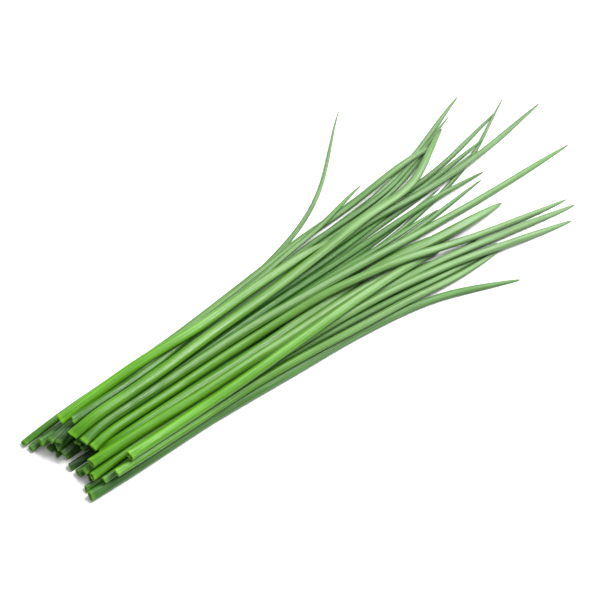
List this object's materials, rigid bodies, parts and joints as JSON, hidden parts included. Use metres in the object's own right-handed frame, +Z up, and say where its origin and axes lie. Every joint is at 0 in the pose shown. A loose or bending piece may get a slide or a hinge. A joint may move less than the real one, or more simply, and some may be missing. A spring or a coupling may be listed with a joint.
{
  "type": "chive bunch",
  "caption": "Loose bunch of cut chives lying flat: long, slim, hollow green leaves with square-cut ends together at one end and pointed tips fanning out at the other.",
  "frame": {"origin": "centre of the bounding box, at the bottom: on the surface the bunch lies on", "axes": "+X runs along the bunch from the cut ends to the tips, +Y is across the bunch to the left of that, +Z is up from the surface"},
  "size_m": [0.2614, 0.1078, 0.0176],
  "materials": {
    "chive_leaf": null
  },
  "bodies": {
    "root": {"chive_leaf_01": "chive_leaf", "chive_leaf_02": "chive_leaf", "chive_leaf_03": "chive_leaf", "chive_leaf_04": "chive_leaf", "chive_leaf_05": "chive_leaf", "chive_leaf_06": "chive_leaf", "chive_leaf_07": "chive_leaf", "chive_leaf_08": "chive_leaf", "chive_leaf_09": "chive_leaf", "chive_leaf_10": "chive_leaf", "chive_leaf_11": "chive_leaf", "chive_leaf_12": "chive_leaf", "chive_leaf_13": "chive_leaf", "chive_leaf_14": "chive_leaf", "chive_leaf_15": "chive_leaf", "chive_leaf_16": "chive_leaf", "chive_leaf_17": "chive_leaf", "chive_leaf_18": "chive_leaf", "chive_leaf_19": "chive_leaf", "chive_leaf_20": "chive_leaf", "chive_leaf_21": "chive_leaf", "chive_leaf_22": "chive_leaf", "chive_leaf_23": "chive_leaf", "chive_leaf_24": "chive_leaf", "chive_leaf_25": "chive_leaf", "chive_leaf_26": "chive_leaf", "chive_leaf_27": "chive_leaf", "chive_leaf_28": "chive_leaf", "chive_leaf_29": "chive_leaf", "chive_leaf_30": "chive_leaf", "chive_leaf_31": "chive_leaf", "chive_leaf_32": "chive_leaf", "chive_leaf_33": "chive_leaf"}
  },
  "joints": []
}
